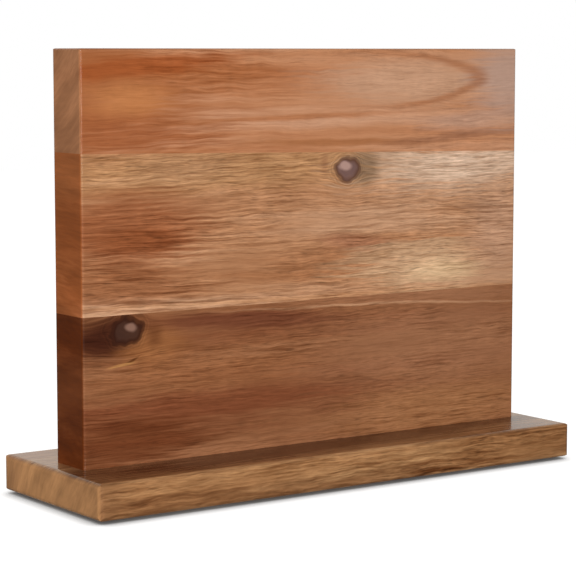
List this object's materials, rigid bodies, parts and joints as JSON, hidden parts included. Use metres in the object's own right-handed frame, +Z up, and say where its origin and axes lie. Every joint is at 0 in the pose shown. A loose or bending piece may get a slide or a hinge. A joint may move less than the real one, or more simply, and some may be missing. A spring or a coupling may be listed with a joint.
{
  "type": "magnetic knife block",
  "caption": "Double-sided magnetic knife block: an upright three-stave wooden panel with magnets sealed inside, screwed to a wide wooden base board on small feet.",
  "frame": {"origin": "middle of the footprint, on the surface that the feet stand on", "axes": "+X along the panel, left to right as seen from the front; -Y is the front knife face; +Z up"},
  "size_m": [0.33, 0.107, 0.249],
  "materials": {
    "acacia_top": "satin clear coat on reddish acacia",
    "acacia_middle": "satin clear coat on pale golden acacia",
    "acacia_bottom": "satin clear coat on dark brown acacia",
    "acacia_base": "satin clear coat on mid-brown acacia",
    "nickel_plate": "bright nickel plate on sintered neodymium",
    "mild_steel": "mill finish",
    "beech": "bare, turned",
    "brass": "turned",
    "black_oxide_steel": "black oxide",
    "zinc_plate": "bright zinc plate",
    "silicone": "moulded, matt"
  },
  "bodies": {
    "root": {"base_board": "acacia_base", "front_top_stave": "acacia_top", "front_middle_stave": "acacia_middle", "front_bottom_stave": "acacia_bottom", "back_top_stave": "acacia_top", "back_middle_stave": "acacia_middle", "back_bottom_stave": "acacia_bottom", "front_upper_backing_strip": "mild_steel", "front_lower_backing_strip": "mild_steel", "back_upper_backing_strip": "mild_steel", "back_lower_backing_strip": "mild_steel", "front_upper_magnet_1": "nickel_plate", "front_upper_magnet_2": "nickel_plate", "front_upper_magnet_3": "nickel_plate", "front_upper_magnet_4": "nickel_plate", "front_upper_magnet_5": "nickel_plate", "front_lower_magnet_1": "nickel_plate", "front_lower_magnet_2": "nickel_plate", "front_lower_magnet_3": "nickel_plate", "front_lower_magnet_4": "nickel_plate", "front_lower_magnet_5": "nickel_plate", "back_upper_magnet_1": "nickel_plate", "back_upper_magnet_2": "nickel_plate", "back_upper_magnet_3": "nickel_plate", "back_upper_magnet_4": "nickel_plate", "back_upper_magnet_5": "nickel_plate", "back_lower_magnet_1": "nickel_plate", "back_lower_magnet_2": "nickel_plate", "back_lower_magnet_3": "nickel_plate", "back_lower_magnet_4": "nickel_plate", "back_lower_magnet_5": "nickel_plate", "dowel_left": "beech", "dowel_right": "beech", "threaded_inserts": "brass", "base_screws": "black_oxide_steel", "screw_washers": "zinc_plate", "foot_front_left": "silicone", "foot_front_right": "silicone", "foot_back_left": "silicone", "foot_back_right": "silicone"}
  },
  "joints": []
}
